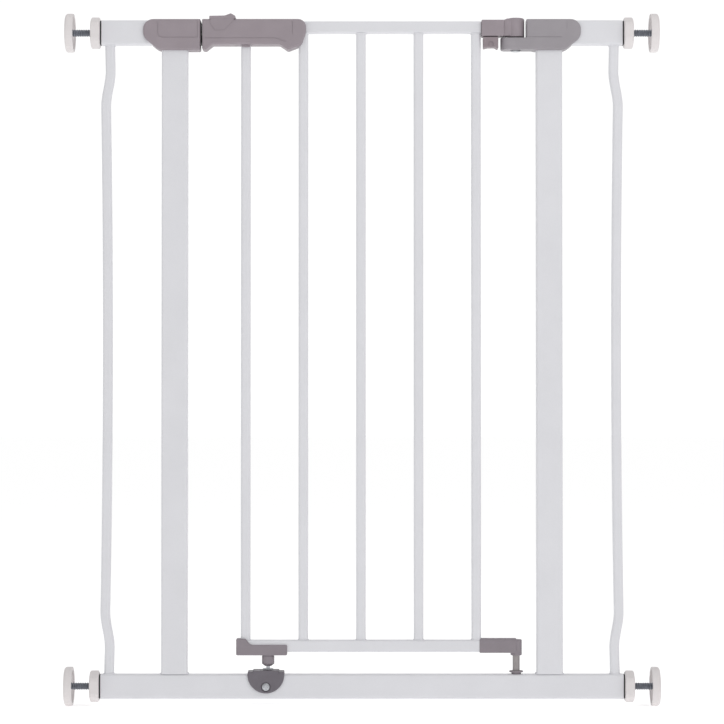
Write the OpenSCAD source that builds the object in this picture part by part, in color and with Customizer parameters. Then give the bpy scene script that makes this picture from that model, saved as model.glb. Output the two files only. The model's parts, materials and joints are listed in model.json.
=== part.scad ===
// Pressure-fit safety gate: a welded tube frame braced between two walls by four screw
// adjusters, and a barred door that lifts out of its catch and swings both ways.
// X runs across the doorway, -Y is the front, +Z is up, and the floor is at z = 0.

/* [Frame] */
// Height of the top tubes' upper face above the floor
gate_h = 750; // [700:1:800]
// Length of the bottom tube, which is the width of the frame
frame_w = 571; // [565:1:600]
// Height of the frame tubes' section
tube_h = 27; // [25:0.5:28]
// Depth of the frame tubes' section
tube_d = 15; // [15:0.5:16]
// Wall of the frame tubes
tube_wall = 1.5; // [1.2:0.1:2]
// Distance from the middle of the gate to the middle of each upright
upright_x = 204.9; // [200:0.1:206]
// Width of each upright
upright_w = 28.7; // [26:0.1:29]

/* [Bars] */
// Width of the door bars and the side bars
bar_w = 10.5; // [8:0.1:11]
// Corner radius of the bars
bar_r = 3; // [1:0.5:3.5]
// Height of the door rails' section
rail_h = 13; // [12:0.5:14]
// Depth of the door rails' section
rail_d = 12; // [11:0.5:13]
// Wall of the bars and rails
bar_wall = 1.2; // [0.8:0.1:1.5]
// How far the bends near its ends step each side bar outwards
bar_step_out = 5.6; // [0:0.1:8]
// How far each side bar bows in at mid height
bar_bow = 3.7; // [0:0.1:5]

/* [Hinge] */
// Diameter of the upper hinge pin
pin_d = 8; // [6:0.1:8.5]
// Diameter of the lower hinge rod
rod_d = 7.8; // [6:0.1:8]
// Radial clearance of the turning and sliding fits
fit = 0.05; // [0.02:0.01:0.1]

/* [Latch] */
// How far the bolt reaches past the handle into its pocket
bolt_reach = 8; // [5:0.5:9]
// Height of the bolt
bolt_h = 8; // [6:0.5:8]
// Diameter of the steel pin that drops into the catch
latch_pin_d = 4; // [3:0.1:4.4]
// Coils of the bolt's return spring
spring_coils = 7; // [4:1:9]

/* [Adjusters] */
// Distance from each tube end to the wall
pad_reach = 39.5; // [26:0.5:54]
// Outer diameter of the wall cups
cup_d = 42.6; // [36:0.2:44]
// Diameter of the threaded spindles
spindle_d = 8; // [6:0.5:8]
// Length of the spindles
spindle_len = 85; // [75:1:90]
// Width across the flats of the adjusting nuts
nut_af = 32; // [28:1:34]
// Thickness of the adjusting nuts
nut_t = 10; // [7:0.5:10]

/* [Hidden] */
$fn = 64;
eps = 0.01;
gap = 0.05;           // assembly gap between pieces of one body
white_coat = [0.85, 0.85, 0.86];
grey_plastic = [0.60, 0.57, 0.59];
dark_plastic = [0.09, 0.09, 0.10];
pale_plastic = [0.89, 0.87, 0.88];
steel = [0.56, 0.56, 0.57];

// Heights of the frame
low_axis = cup_d / 2;
high_axis = gate_h - tube_h / 2;
low_tube_top = low_axis + tube_h / 2;
high_tube_low = gate_h - tube_h;
upright_len = high_tube_low - low_tube_top;
upright_in = upright_x - upright_w / 2;
tube_r = 2.5;

// Door
hinge_x = upright_x - 36.4;
latch_x = 30 - upright_x;
top_rail_z = gate_h - 1 - rail_h;
bottom_rail_z = 59;
rail_right = hinge_x - 38;
bar_1_x = latch_x + 47.7;
bar_5_x = hinge_x - 43.6;
bar_step = (bar_5_x - bar_1_x) / 4;
spigot_len = 20;

// Side bars
side_x = frame_w / 2 - 9.2;
foot_len = 28;
bend_rise = 40;

// Housings
shell_d = 11.5;       // half depth of the latch and hinge housings
handle_d = 12;        // half depth of the handle
shell_wall = 2.2;
case_top = gate_h + 0.9;
case_low = gate_h - 33.2;
screw_r = 2;
screw_head_r = 3.6;
screw_in = 8;         // distance of the housing screws either side of the upright's middle
shelf_top = gate_h - 19.3;
shelf_low = gate_h - 32.5;
bush_r = 6;

// Handle
handle_low = gate_h - 27;
handle_right = latch_x + 113.6;
bolt_w = 6.4;
bolt_z = gate_h - 24;
bolt_right = latch_x + 20.9;
spring_right = latch_x + 37.9;
spring_r = 2.1;
wire_r = 0.4;
neck_left = latch_x + 11.9;
neck_right = latch_x + 25.9;
slot_right = latch_x + 35.2;
foot_left = neck_left + 2;
foot_w = 5;
handle_bosses = [
    [latch_x + 62.9, gate_h - 20.4],
    [latch_x + 88.9, gate_h - 20.4],
    [latch_x + 6.2, gate_h - 7]
];

// Catch and the bracket above it
catch_x = latch_x + 70.1;
catch_r = 20;
catch_z = low_axis + 13;
pin_x = latch_x + 72.3;
catch_plate = 3;
bracket_low = bottom_rail_z - 3.5;

// Adjusters
flange_t = 1.4;
nut_start = flange_t + 0.1;
cup_t = 9;
cup_base = 1.5;
dish_r = cup_d / 2 - 1.5;
rod_end = pad_reach - 4;

// Unit vector along v
function unit(v) = v / norm(v);

// Points of the arc of radius r that rounds the corner b between a and c
function fillet(a, b, c, r, steps = 6) =
    let (
        u = unit(a - b),
        v = unit(c - b),
        half = acos(u * v) / 2,
        start = b + u * r / tan(half),
        centre = b + unit(u + v) * r / sin(half),
        from = atan2(start.y - centre.y, start.x - centre.x),
        turn = (180 - 2 * half) * (u.x * v.y - u.y * v.x < 0 ? 1 : -1)
    )
    [for (i = [0:steps]) centre + r * [cos(from + turn * i / steps), sin(from + turn * i / steps)]];

// Corner i of an anticlockwise outline of [x, y, radius], without its radius
function spot(pts, i) = let (p = pts[(i + len(pts)) % len(pts)]) [p.x, p.y];

// Outline with every corner rounded to its own radius
function rounded(pts, steps = 6) = [
    for (i = [0:len(pts) - 1])
        each (pts[i][2] > 0
            ? fillet(spot(pts, i - 1), spot(pts, i), spot(pts, i + 1), pts[i][2], steps)
            : [spot(pts, i)])
];

// The same outline moved inwards by w, with its radii kept concentric
function inset(pts, w) = [
    for (i = [0:len(pts) - 1])
        let (
            e = unit(spot(pts, i) - spot(pts, i - 1)),
            f = unit(spot(pts, i + 1) - spot(pts, i)),
            m = [-e.y, e.x],
            n = [-f.y, f.x],
            p = spot(pts, i) + w * (m + n) / (1 + m * n),
            bend = e.x * f.y - e.y * f.x
        )
        [p.x, p.y, bend > 0 ? max(pts[i][2] - w, 0) : pts[i][2] + w]
];

// Rectangle w by h about the origin, with corners of radius r
function box_outline(w, h, r, steps = 6) = rounded([
    [w / 2, h / 2, r], [-w / 2, h / 2, r], [-w / 2, -h / 2, r], [w / 2, -h / 2, r]
], steps);

// Outline in X and Z, as thick as from y0 to y1
module slab(pts, y0, y1)
    translate([0, y1, 0]) rotate([90, 0, 0]) linear_extrude(y1 - y0) polygon(pts);

// Box between two corners
module block(low, high)
    translate(low) cube(high - low);

// Cylinder along Y from y0 to y1, on the axis at x and z
module rod_y(x, z, r, y0, y1)
    translate([x, y1, z]) rotate([90, 0, 0]) cylinder(r = r, h = y1 - y0);

// Rectangular tube section
module ring_section(w, h, r, wall)
    difference() {
        polygon(box_outline(w, h, r));
        polygon(box_outline(w - 2 * wall, h - 2 * wall, max(r - wall, 0.3)));
    }

// Tube along X from x0 to x1, with its lower face at z
module tube_x(x0, x1, z, w, h, r, wall)
    translate([x0, 0, z + h / 2]) rotate([90, 0, 90])
        linear_extrude(x1 - x0) ring_section(w, h, r, wall);

// Tube along Z from z0 to z1, at x
module tube_z(x, z0, z1, w, h, r, wall)
    translate([x, 0, z0]) linear_extrude(z1 - z0) ring_section(w, h, r, wall);

// Frame ------------------------------------------------------------------------------------

module bottom_tube()
    color(white_coat) difference() {
        tube_x(-frame_w / 2, frame_w / 2, low_axis - tube_h / 2, tube_d, tube_h, tube_r, tube_wall);
        rod_y(catch_x, low_axis, 2.6, -tube_d, tube_d);
        translate([hinge_x, 0, low_axis]) cylinder(r = 5.3, h = tube_h);
    }

// Upright with the weld bead at its foot
module upright(side)
    color(white_coat) translate([side * upright_x, 0, 0]) {
        tube_z(0, low_tube_top, high_tube_low, upright_w, tube_d, tube_r, tube_wall);
        for (s = [-1, 1])
            scale([s, 1, 1]) slab([
                [upright_w / 2 - 0.5, low_tube_top], [upright_w / 2 + 1.2, low_tube_top],
                [upright_w / 2 + 0.6, low_tube_top + 1.8], [upright_w / 2 - 0.5, low_tube_top + 2.8]
            ], -tube_d / 2 + tube_r, tube_d / 2 - tube_r);
    }

// Short tube that carries an adjuster at the top, cross-drilled for the housing's screws
module top_tube(side)
    color(white_coat) difference() {
        scale([side, 1, 1])
            tube_x(upright_in, frame_w / 2, high_tube_low, tube_d, tube_h, tube_r, tube_wall);
        for (dx = [-screw_in, screw_in])
            rod_y(side * (upright_x + dx), high_axis, screw_r + 0.2, -tube_d, tube_d);
    }

// Share of a smooth step that is done at t, where 0 is its start and 1 its end
function ease(t) = let (u = min(max(t, 0), 1)) u * u * (3 - 2 * u);

// How far the side bar's centre line stands out of its feet at the height z above them
function bar_out(z) =
    let (from_end = min(z, upright_len - z), u = 2 * z / upright_len - 1)
    bar_step_out * ease((from_end - foot_len) / bend_rise) - bar_bow * (1 - u * u);

// Side bar: two bends step it outwards near its ends, and it bows in at mid height
module side_bar(side) {
    bend = [for (i = [0:8]) foot_len + bend_rise * i / 8];
    middle = [for (i = [1:7]) bend[8] + (upright_len - 2 * bend[8]) * i / 8];
    heights = concat([0], bend, middle, [for (i = [8:-1:0]) upright_len - bend[i]], [upright_len]);
    section = box_outline(bar_w, bar_w, bar_r, 4);
    n = len(section);
    last = len(heights) - 1;
    points = [
        for (i = [0:last])
            let (
                z = heights[i],
                lean = i == 0 || i == last ? 0 : atan((bar_out(z + 1) - bar_out(z - 1)) / 2)
            )
            for (p = section) [bar_out(z) + p.x * cos(lean), p.y, z - p.x * sin(lean)]
    ];
    color(white_coat) translate([side * side_x, 0, low_tube_top]) rotate([0, 0, side < 0 ? 180 : 0])
        polyhedron(points = points, faces = concat(
            [[for (j = [0:n - 1]) j]],
            [for (i = [0:last - 1], j = [0:n - 1])
                let (k = (j + 1) % n)
                [i * n + j, (i + 1) * n + j, (i + 1) * n + k, i * n + k]],
            [[for (j = [n - 1:-1:0]) last * n + j]]
        ));
}

// Local +Z points out of a tube end, towards the wall
module at_corner(side, z)
    translate([side * frame_w / 2, 0, z]) rotate([0, 90 * side, 0]) children();

// Plug that guides a spindle in a tube end
module tube_plug()
    difference() {
        union() {
            translate([0, 0, -20]) linear_extrude(20)
                polygon(box_outline(tube_h - 2 * tube_wall - 0.1, tube_d - 2 * tube_wall - 0.1, 0.9));
            linear_extrude(flange_t) polygon(box_outline(tube_h - 0.8, tube_d - 0.8, 2.1));
        }
        translate([0, 0, -21]) cylinder(r = spindle_d / 2 + fit, h = 21 + flange_t + 1);
    }

module tube_plugs()
    color(dark_plastic) for (side = [-1, 1], z = [low_axis, high_axis])
        at_corner(side, z) tube_plug();

// Outer end and lower corner that both housings share, at the distance x from the middle
function case_outline(inner_x, low_r) = [
    [upright_x + 17.1, case_low, 14], [upright_x + 34.6, gate_h - 19, 12],
    [upright_x + 34.6, case_top, 11], [inner_x, case_top, 1], [inner_x, case_low, low_r]
];

// Hollow housing on the right side, from y0 to y1, cut for the tube and the upright
module case_shell(pts, low, high, front)
    difference() {
        union() {
            difference() {
                slab(rounded(pts), low, high);
                slab(rounded(inset(pts, shell_wall)),
                    front ? low + shell_wall : low - eps, front ? high + eps : high - shell_wall);
            }
            for (dx = [-screw_in, screw_in])
                rod_y(upright_x + dx, high_axis, 4.5,
                    front ? low + shell_wall - eps : tube_d / 2 + gap,
                    front ? -tube_d / 2 - gap : high - shell_wall + eps);
        }
        block([upright_in - gap, -tube_d / 2 - gap, high_tube_low - gap],
            [frame_w / 2, tube_d / 2 + gap, gate_h + gap]);
        block([upright_in - gap, -tube_d / 2 - gap, case_low - 5],
            [upright_x + upright_w / 2 + gap, tube_d / 2 + gap, high_tube_low]);
        for (dx = [-screw_in, screw_in])
            if (front)
                rod_y(upright_x + dx, high_axis, screw_r + 0.02, low + 1.2, 0);
            else {
                rod_y(upright_x + dx, high_axis, screw_r + 0.1, 0, high + 1);
                rod_y(upright_x + dx, high_axis, screw_head_r + 0.2, high - 2, high + 1);
            }
    }

// Half of the latch housing; the black insert shows through its inner wall
module latch_cover(front)
    color(grey_plastic) difference() {
        scale([-1, 1, 1])
            case_shell(case_outline(-latch_x + 2, 1.5), front ? -shell_d : 0, front ? 0 : shell_d, front);
        block([latch_x - 16, -9 - gap, handle_low + 0.55], [latch_x, 9 + gap, gate_h - 1.45]);
    }

module striker_insert()
    color(dark_plastic) difference() {
        block([latch_x - 15.1, -9, handle_low + 0.6], [latch_x - 1.1, 9, gate_h - 1.5]);
        block([latch_x - 11.1, -bolt_w / 2 - 0.4, bolt_z - 0.6],
            [latch_x, bolt_w / 2 + 0.4, bolt_z + bolt_h + 8.6]);
    }

// Plan outline of the hinge shelf, with its nose rounded about the pin
module shelf_plan() {
    translate([hinge_x - 5.2, -shell_d]) square([upright_in - 8 - (hinge_x - 5.2), 2 * shell_d]);
    translate([hinge_x - 5.2, 0]) circle(r = shell_d);
}

// Half of the hinge housing, with its half of the shelf that holds the pin's bush
module hinge_cover(front)
    color(grey_plastic) {
        case_shell(case_outline(hinge_x + 11.4, 0), front ? -shell_d : 0, front ? 0 : shell_d, front);
        difference() {
            translate([0, 0, shelf_low]) linear_extrude(shelf_top - shelf_low) shelf_plan();
            block([0, front ? 0 : -2 * shell_d, 0], [upright_x, front ? 2 * shell_d : 0, gate_h]);
            translate([hinge_x, 0, shelf_low - 1]) cylinder(r = bush_r + gap, h = 20);
        }
    }

module hinge_bush()
    color(dark_plastic) translate([hinge_x, 0, shelf_low]) difference() {
        cylinder(r = bush_r, h = shelf_top - shelf_low);
        translate([0, 0, -1]) cylinder(r = pin_d / 2 + fit, h = shelf_top - shelf_low + 2);
    }

// Disc with a flat top and a raised middle that both halves of the catch share
module catch_disc(y0, y1)
    intersection() {
        rod_y(catch_x, catch_z, catch_r, y0, y1);
        union() {
            block([catch_x - catch_r, y0, 0], [catch_x + catch_r, y1, low_tube_top + 3.2]);
            block([catch_x - 14.2, y0, 0], [catch_x + 14.2, y1, low_tube_top + 4.4]);
        }
    }

// Front half of the catch: it sits over the tube and holds the pin's hole
module catch_front()
    color([0.43, 0.42, 0.45]) difference() {
        catch_disc(-tube_d / 2 - catch_plate, tube_d / 2);
        block([catch_x - catch_r, -tube_d / 2 - gap, 0], [catch_x + catch_r, tube_d, low_tube_top + gap]);
        translate([pin_x, 0, low_tube_top - 1]) cylinder(r = latch_pin_d / 2 + 0.5, h = 10);
        rod_y(catch_x, low_axis, 2.55, -tube_d, 0);
        rod_y(catch_x, low_axis, 5.25, -tube_d, -tube_d / 2 - 1.2);
    }

module catch_rear()
    color([0.43, 0.42, 0.45]) difference() {
        catch_disc(tube_d / 2 + gap, tube_d / 2 + catch_plate);
        rod_y(catch_x, low_axis, 2.55, 0, tube_d);
    }

module catch_screw()
    color(steel) {
        rod_y(catch_x, low_axis, 2.5, -tube_d / 2 - 1.2, tube_d / 2 + catch_plate + 3.5);
        rod_y(catch_x, low_axis, 4.35, -tube_d / 2 - 2.9, -tube_d / 2 - 1.2);
    }

module catch_nut()
    color(steel) difference() {
        translate([catch_x, tube_d / 2 + catch_plate + 3.2, low_axis]) rotate([90, 0, 0])
            cylinder(r = 4.6, h = 3.2, $fn = 6);
        rod_y(catch_x, low_axis, 2.52, 0, 2 * tube_d);
    }

// Flanged bush that the lower hinge rod turns and lifts in
module lower_hinge_bush()
    color(grey_plastic) translate([hinge_x, 0, low_tube_top]) difference() {
        union() {
            translate([0, 0, -15]) cylinder(r = 5.25, h = 17);
            translate([0, 0, 2]) cylinder(r = 7.7, h = 1.7);
        }
        translate([0, 0, -16]) cylinder(r = rod_d / 2 + fit, h = 21);
    }

// Screw along Y with its head at the back
module cover_screw(x, z, tip, back)
    color(steel) {
        rod_y(x, z, screw_r, tip, back - 1.9);
        rod_y(x, z, screw_head_r, back - 1.9, back - 0.3);
    }

module frame_screws()
    for (side = [-1, 1], dx = [-screw_in, screw_in])
        cover_screw(side * (upright_x + dx), high_axis, -shell_d + 1.3, shell_d);

// Door -------------------------------------------------------------------------------------

module top_hinge_pin()
    color(steel) translate([hinge_x, 0, 0]) {
        translate([0, 0, shelf_low - gap]) cylinder(d = pin_d, h = gate_h - 0.4 - shelf_low + gap);
        translate([0, 0, shelf_low - gap - 1.5]) cylinder(r = 5, h = 1.5);
    }

// Rail along X, open at both ends
module rail(x0, x1, z)
    color(white_coat) tube_x(x0, x1, z, rail_d, rail_h, 2, bar_wall);

module bar(i)
    color(white_coat) tube_z(bar_1_x + (i - 1) * bar_step, bottom_rail_z + rail_h, top_rail_z,
        bar_w, bar_w, bar_r, bar_wall);

// Space of one door bar, for cutting the pieces that it passes through
module bar_space(i, z0, z1)
    translate([bar_1_x + (i - 1) * bar_step, 0, z0]) linear_extrude(z1 - z0)
        square(bar_w + 2 * gap, center = true);

// Side outline of the handle: a lobe hangs at each end
handle_outline = [
    [latch_x, case_low + 0.4, 2], [latch_x + 4.4, case_low + 0.4, 2.5], [latch_x + 11.8, handle_low, 3],
    [latch_x + 85.1, handle_low, 3], [latch_x + 93.9, case_low, 3], [latch_x + 108.9, case_low + 5.8, 6],
    [handle_right, gate_h - 14, 10], [handle_right, case_top, 8.7], [latch_x, case_top, 1]
];

// Half of the handle, hollow, with screw bosses, bolt guides and the spring's seat
module handle_cover(front) {
    low = front ? -handle_d : gap / 2;
    high = front ? -gap / 2 : handle_d;
    inner = front ? low + shell_wall - eps : high - shell_wall + eps;
    color(grey_plastic) difference() {
        union() {
            difference() {
                slab(rounded(handle_outline), low, high);
                slab(rounded(inset(handle_outline, shell_wall)),
                    front ? low + shell_wall : low - eps, front ? high + eps : high - shell_wall);
            }
            for (p = handle_bosses)
                rod_y(p.x, p.y, 3.4, front ? inner : high - 6, front ? high : inner);
            for (z = [[handle_low + 2, bolt_z - gap], [bolt_z + bolt_h + gap, bolt_z + bolt_h + 1.9]])
                block([latch_x + 2, front ? inner : bolt_w / 2 + 0.2, z[0]],
                    [spring_right + 1, front ? -bolt_w / 2 - 0.2 : inner, z[1]]);
            block([spring_right, front ? inner : low, handle_low + 2],
                [spring_right + 2, front ? high : inner, bolt_z + bolt_h + 1]);
        }
        block([bar_1_x - 5.8 - gap, -rail_d / 2 - gap, top_rail_z - gap],
            [handle_right + 1, rail_d / 2 + gap, top_rail_z + rail_h + gap]);
        bar_space(1, case_low - 5, top_rail_z);
        bar_space(2, case_low - 5, top_rail_z);
        block([latch_x - 1, -bolt_w / 2 - gap, bolt_z - gap],
            [latch_x + 3, bolt_w / 2 + gap, bolt_z + bolt_h + gap]);
        block([neck_left - 0.2, -3, gate_h - 4], [slot_right, 3, case_top + 1]);
        for (p = handle_bosses)
            if (front)
                rod_y(p.x, p.y, 1.5, low + 1.2, high + 1);
            else {
                rod_y(p.x, p.y, 1.6, 0, high + 1);
                rod_y(p.x, p.y, 3, high - 2, high + 1);
            }
    }
}

// Thumb slide: a ramped top plate, a skirt on each side and a neck down to the bolt
module slide_button()
    color(grey_plastic) {
        slab([
            [latch_x + 7.9, case_top + 0.15], [latch_x + 36.4, case_top + 0.15],
            [latch_x + 36.4, gate_h + 3.9], [latch_x + 34.2, gate_h + 5.8], [latch_x + 31.5, gate_h + 6.8],
            [latch_x + 28.5, gate_h + 5.6], [latch_x + 24.5, gate_h + 4.4], [latch_x + 18, gate_h + 3.7],
            [latch_x + 7.9, gate_h + 4]
        ], -handle_d - 0.95, handle_d + 0.95);
        for (s = [-1, 1])
            scale([1, s, 1]) slab(rounded([
                [latch_x + 14, gate_h - 11.4, 1.5], [latch_x + 24.3, gate_h - 11.4, 1],
                [latch_x + 35.2, gate_h + 0.3, 1], [latch_x + 35.2, gate_h + 2, 0],
                [latch_x + 9, gate_h + 2, 0], [latch_x + 9, gate_h - 4, 3]
            ]), -handle_d - 0.95, -handle_d - 0.15);
        block([neck_left, -2.4, bolt_z + bolt_h], [neck_right, 2.4, case_top + 1]);
        block([foot_left, -2.4, bolt_z + bolt_h - 3], [foot_left + foot_w, 2.4, bolt_z + bolt_h + 1]);
    }

// Bolt with a ramped nose, notched for the slide's foot and bored for the spring
module latch_bolt()
    color(dark_plastic) difference() {
        slab(rounded([
            [latch_x - bolt_reach, bolt_z, 1.5], [bolt_right, bolt_z, 0],
            [bolt_right, bolt_z + bolt_h, 0], [latch_x - bolt_reach, bolt_z + bolt_h, 1.5]
        ]), -bolt_w / 2, bolt_w / 2);
        block([foot_left - gap, -bolt_w, bolt_z + bolt_h - 3 - gap],
            [foot_left + foot_w + gap, bolt_w, bolt_z + bolt_h + 1]);
    }

// Helical spring along X, as rings of points around the wire
function coil_point(i, j, sides, per_turn) =
    let (
        a = 360 * i / per_turn,
        b = 360 * j / sides,
        pitch = (spring_right - bolt_right - 2 * wire_r - 0.2) / spring_coils,
        r = spring_r + wire_r * cos(b)
    )
    [pitch * i / per_turn + wire_r * sin(b), r * cos(a), r * sin(a)];

module return_spring() {
    sides = 6;
    per_turn = 16;
    rings = spring_coils * per_turn;
    color(steel) translate([bolt_right + wire_r + 0.1, 0, bolt_z + bolt_h / 2])
        polyhedron(
            points = [for (i = [0:rings], j = [0:sides - 1]) coil_point(i, j, sides, per_turn)],
            faces = concat(
                [[for (j = [0:sides - 1]) j]],
                [for (i = [0:rings - 1], j = [0:sides - 1])
                    let (k = (j + 1) % sides)
                    [i * sides + j, (i + 1) * sides + j, (i + 1) * sides + k, i * sides + k]],
                [[for (j = [0:sides - 1]) rings * sides + sides - 1 - j]]
            ));
}

// Spigot that fills the end of a door rail whose underside is at z
module spigot(z)
    translate([rail_right - spigot_len, 0, z + rail_h / 2]) rotate([90, 0, 90])
        linear_extrude(spigot_len + 1)
            polygon(box_outline(rail_d - 2 * bar_wall - 0.2, rail_h - 2 * bar_wall - 0.2, 0.7));

// Upper bracket: spigot, block, web and the knuckle that turns on the pin
module upper_hinge_bracket()
    color(grey_plastic) difference() {
        union() {
            spigot(top_rail_z);
            slab(rounded([
                [rail_right + 0.3, gate_h - 17.5, 1.5], [hinge_x - 12.9, gate_h - 17.5, 1],
                [hinge_x - 12.9, gate_h + 0.2, 1], [rail_right + 0.3, gate_h + 0.2, 1.5]
            ]), -10, 10);
            slab([
                [hinge_x - 14, gate_h - 17.5], [hinge_x, gate_h - 17.5], [hinge_x, gate_h + 1.8],
                [hinge_x - 9, gate_h + 1.8], [hinge_x - 14, gate_h - 0.3]
            ], -8, 8);
            translate([hinge_x, 0, gate_h - 18]) rotate_extrude() polygon(rounded([
                [0, 0, 0], [9.6, 0, 0.6], [9.6, 20.6, 2], [0, 20.6, 0]
            ]));
        }
        translate([hinge_x, 0, gate_h - 19]) cylinder(d = pin_d + 2 * fit, h = 18.75);
        block([rail_right + 6.8, -3, gate_h - 20], [rail_right + 14.8, 3, gate_h - 9]);
    }

// Clip pushed up into the upper bracket
module bracket_clip()
    color([0.47, 0.43, 0.44]) {
        slab(rounded([
            [hinge_x - 35.6, gate_h - 30.6, 1], [hinge_x - 30.5, gate_h - 29.3, 3],
            [hinge_x - 23, gate_h - 29.3, 3], [hinge_x - 21, gate_h - 30.9, 0.5],
            [hinge_x - 19.3, gate_h - 30.9, 0.5], [hinge_x - 19.3, gate_h - 18.3, 1],
            [hinge_x - 35.8, gate_h - 18.3, 1]
        ]), -8.5, 8.5);
        block([rail_right + 6.9, -2.9, gate_h - 19], [rail_right + 14.7, 2.9, gate_h - 9.1]);
    }

// Shoe under the latch end of the bottom rail, with the boss that holds the latch pin
module lower_latch_bracket()
    color(grey_plastic) difference() {
        union() {
            slab(rounded([
                [latch_x + 37.6, bracket_low, 1.5], [latch_x + 93.2, bracket_low, 1.5],
                [latch_x + 93.2, bracket_low + 11.3, 1.5], [latch_x + 52.9, bracket_low + 11.3, 8],
                [latch_x + 48, bracket_low + 17.9, 1.5], [latch_x + 37.6, bracket_low + 17.9, 1]
            ]), -8, 8);
            translate([pin_x, 0, bracket_low - 12]) rotate_extrude()
                polygon([[0, 0], [3.5, 0], [6.8, 2.7], [6.8, 12.5], [0, 12.5]]);
        }
        block([latch_x + 40.1, -rail_d / 2 - gap, bottom_rail_z - gap],
            [latch_x + 95, rail_d / 2 + gap, bottom_rail_z + rail_h + gap]);
        bar_space(1, bottom_rail_z + rail_h, bottom_rail_z + 30);
        translate([pin_x, 0, bracket_low - 13]) cylinder(r = latch_pin_d / 2 + 0.02, h = 14);
    }

module latch_pin()
    color(steel) translate([pin_x, 0, 0]) {
        translate([0, 0, low_tube_top + 0.4])
            cylinder(d = latch_pin_d, h = bracket_low + 1 - low_tube_top - 0.4);
        translate([0, 0, low_tube_top + 5.2]) cylinder(r = 5.75, h = 1);
    }

// Lower bracket: spigot, block and the boss that holds the hinge rod
module lower_hinge_bracket()
    color([0.54, 0.53, 0.54]) difference() {
        union() {
            spigot(bottom_rail_z);
            translate([rail_right - 2.2, 0, bottom_rail_z + rail_h / 2 + 0.4]) rotate([90, 0, 90])
                linear_extrude(hinge_x - rail_right + 2.2) polygon(rounded([
                    [7, 5.8, 0.8], [5, 7.8, 0.8], [-5, 7.8, 0.8], [-7, 5.8, 0.8], [-7, -7.8, 1], [7, -7.8, 1]
                ]));
            translate([hinge_x, 0, bottom_rail_z - 3.8]) cylinder(r = 6.2, h = 17.3);
        }
        difference() {
            block([rail_right - 3, -rail_d / 2 - gap, bottom_rail_z - gap],
                [rail_right + gap, rail_d / 2 + gap, bottom_rail_z + rail_h + gap]);
            spigot(bottom_rail_z);
        }
        bar_space(5, bottom_rail_z + rail_h, bottom_rail_z + 30);
        translate([hinge_x, 0, bottom_rail_z - 5]) cylinder(d = rod_d + 0.04, h = 15);
    }

module lower_hinge_rod()
    color(steel) translate([hinge_x, 0, low_tube_top - 14])
        cylinder(d = rod_d, h = bottom_rail_z + 10 - low_tube_top + 14);

module gate_screws()
    color(steel) for (p = handle_bosses) {
        rod_y(p.x, p.y, 1.48, -handle_d + 1.4, handle_d - 1.9);
        rod_y(p.x, p.y, 2.8, handle_d - 1.9, handle_d - 0.4);
    }

// Adjusters --------------------------------------------------------------------------------

// Hexagonal hand nut with its corners turned down
module adjuster_nut()
    color(pale_plastic) difference() {
        intersection() {
            translate([0, 0, nut_start]) cylinder(r = nut_af / 2 / cos(30), h = nut_t, $fn = 6);
            translate([0, 0, nut_start]) rotate_extrude() polygon([
                [0, 0], [nut_af / 2 - 0.4, 0], [nut_af / 2 + 1.2, 1.1],
                [nut_af / 2 + 1.2, nut_t - 1.1], [nut_af / 2 - 0.4, nut_t], [0, nut_t]
            ]);
        }
        cylinder(r = spindle_d / 2 + fit, h = 30);
    }

module adjuster_spindle()
    color(steel) translate([0, 0, rod_end - spindle_len]) rotate_extrude() polygon([
        [0, 0], [spindle_d / 2 - 0.8, 0], [spindle_d / 2, 0.8], [spindle_d / 2, spindle_len], [0, spindle_len]
    ]);

// Dished foot on the spindle's end
module adjuster_foot()
    color(pale_plastic) translate([0, 0, pad_reach]) mirror([0, 0, 1]) difference() {
        rotate_extrude() polygon([
            [0, cup_base + gap], [6.5, cup_base + gap], [dish_r - 0.9, cup_base + gap + 3.4],
            [dish_r - 0.1, cup_base + gap + 3.4], [dish_r - 0.1, cup_t],
            [dish_r - 1.4, cup_t], [6.5, 3.6], [6.5, 5.8], [5.8, 6.4], [0, 6.4]
        ]);
        translate([0, 0, pad_reach - rod_end]) cylinder(r = spindle_d / 2 + 0.02, h = 10);
    }

// Cup that is fixed to the wall around the foot
module adjuster_cup()
    color(pale_plastic) translate([0, 0, pad_reach]) mirror([0, 0, 1]) rotate_extrude()
        polygon(concat(
            [[0, 0]],
            fillet([0, 0], [cup_d / 2, 0], [cup_d / 2, cup_t], 3.2),
            [[cup_d / 2, cup_t], [dish_r, cup_t], [dish_r, cup_base], [0, cup_base]]
        ));

bottom_tube();
upright(-1);  // left_upright
upright(1);  // right_upright
top_tube(-1);  // top_left_tube
top_tube(1);  // top_right_tube
side_bar(-1);  // left_side_bar
side_bar(1);  // right_side_bar
tube_plugs();
latch_cover(true);  // latch_front_cover
latch_cover(false);  // latch_rear_cover
striker_insert();
hinge_cover(true);  // hinge_front_cover
hinge_cover(false);  // hinge_rear_cover
hinge_bush();
catch_front();
catch_rear();
catch_screw();
catch_nut();
lower_hinge_bush();
frame_screws();
top_hinge_pin();
rail(bar_1_x - 5.8, rail_right, top_rail_z);  // top_rail
rail(latch_x + 40.1, rail_right, bottom_rail_z);  // bottom_rail
bar(1);  // bar_1
bar(2);  // bar_2
bar(3);  // bar_3
bar(4);  // bar_4
bar(5);  // bar_5
handle_cover(true);  // handle_front_cover
handle_cover(false);  // handle_rear_cover
upper_hinge_bracket();
bracket_clip();
lower_latch_bracket();
latch_pin();
lower_hinge_bracket();
lower_hinge_rod();
gate_screws();
slide_button();
latch_bolt();
return_spring();
at_corner(-1, high_axis) adjuster_nut();  // top_left_nut
at_corner(-1, high_axis) adjuster_spindle();  // top_left_spindle
at_corner(-1, high_axis) adjuster_foot();  // top_left_foot
at_corner(-1, high_axis) adjuster_cup();  // top_left_cup
at_corner(1, high_axis) adjuster_nut();  // top_right_nut
at_corner(1, high_axis) adjuster_spindle();  // top_right_spindle
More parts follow.
